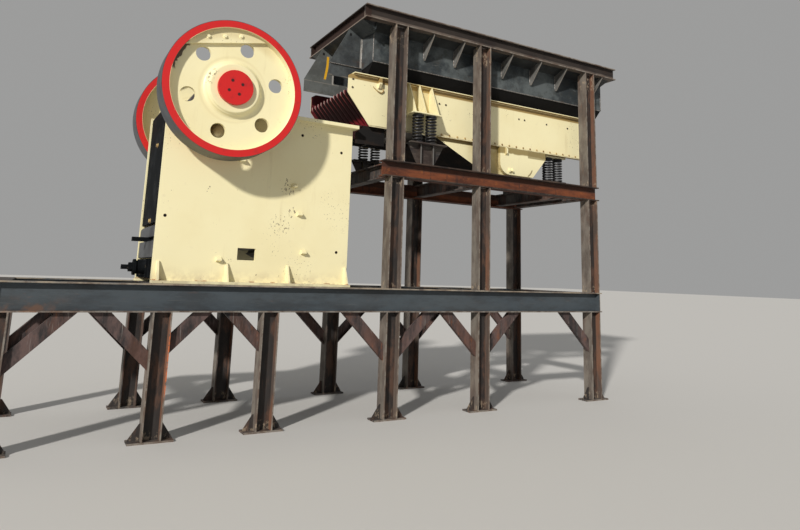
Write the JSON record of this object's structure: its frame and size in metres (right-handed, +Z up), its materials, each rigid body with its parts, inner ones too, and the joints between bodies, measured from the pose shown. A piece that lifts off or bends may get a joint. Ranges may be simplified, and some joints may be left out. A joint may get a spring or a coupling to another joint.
{
  "type": "jaw crusher plant",
  "caption": "Jaw crusher on a steel stand, fed by a vibrating grizzly feeder under a plate hopper; two flywheels turn on an eccentric shaft that swings the jaw.",
  "frame": {"origin": "on the ground, under the middle of the whole plant's bounding box", "axes": "+X along the plant from the crusher's rear to the hopper's dump end, +Y from the near side to the far side, +Z up"},
  "size_m": [8.851, 2.37, 5.43],
  "materials": {
    "cream_paint": "satin",
    "red_paint": "satin",
    "maroon_paint": "matte",
    "black_paint": "satin",
    "girder_steel": "satin",
    "rusty_steel": "matte",
    "dark_steel": "matte",
    "hopper_plate": "matte",
    "jaw_steel": "matte",
    "spring_steel": "satin",
    "machine_grey": "matte",
    "shaft_steel": "satin"
  },
  "bodies": {
    "plant": {"stand_girders": "girder_steel", "stand_cross_girders": "dark_steel", "stand_bearers": "dark_steel", "stand_columns": "rusty_steel", "stand_feet": "rusty_steel", "stand_knee_braces": "rusty_steel", "frame_posts": "rusty_steel", "frame_mid_beams": "rusty_steel", "frame_cross_beams": "rusty_steel", "spring_stools": "dark_steel", "rim_side_beams": "dark_steel", "rim_end_beams": "dark_steel", "hopper_side_walls": "hopper_plate", "hopper_end_wall": "hopper_plate", "hopper_brackets": "hopper_plate", "hopper_snout": "hopper_plate", "feeder_sides": "cream_paint", "feeder_pan": "cream_paint", "grizzly_bars": "maroon_paint", "grizzly_beam": "maroon_paint", "feeder_underbody": "cream_paint", "feeder_exciter": "dark_steel", "feeder_guard": "cream_paint", "spring_seats": "cream_paint", "feeder_springs": "spring_steel", "discharge_chute": "maroon_paint", "crusher_near_side": "cream_paint", "crusher_far_side": "cream_paint", "crusher_feed_wall": "cream_paint", "crusher_rear_wall": "black_paint", "toggle_beam": "machine_grey", "toggle_plate": "jaw_steel", "adjusting_bar": "black_paint", "fixed_jaw": "jaw_steel", "cheek_plates": "jaw_steel", "bearing_housings": "cream_paint", "tension_rod": "black_paint"},
    "rotor": {"eccentric_shaft": "shaft_steel", "near_flywheel": "cream_paint", "far_flywheel": "cream_paint", "hub_caps": "red_paint", "counterweights": "cream_paint"},
    "swing_jaw": {"swing_jaw_body": "machine_grey", "swing_jaw_plate": "jaw_steel"}
  },
  "joints": [
    {"name": "rotor_spin", "type": "hinge", "parent": "plant", "child": "rotor", "pos_m": [-2.1435, 0, 3.878], "axis": [0, 1, 0], "continuous": true},
    {"name": "jaw_orbit", "type": "hinge", "parent": "rotor", "child": "swing_jaw", "pos_m": [-2.1435, 0, 3.862], "axis": [0, 1, 0], "continuous": true}
  ],
  "couplings": [
    {"joint": "jaw_orbit", "follows": "rotor_spin", "ratio": -1}
  ]
}
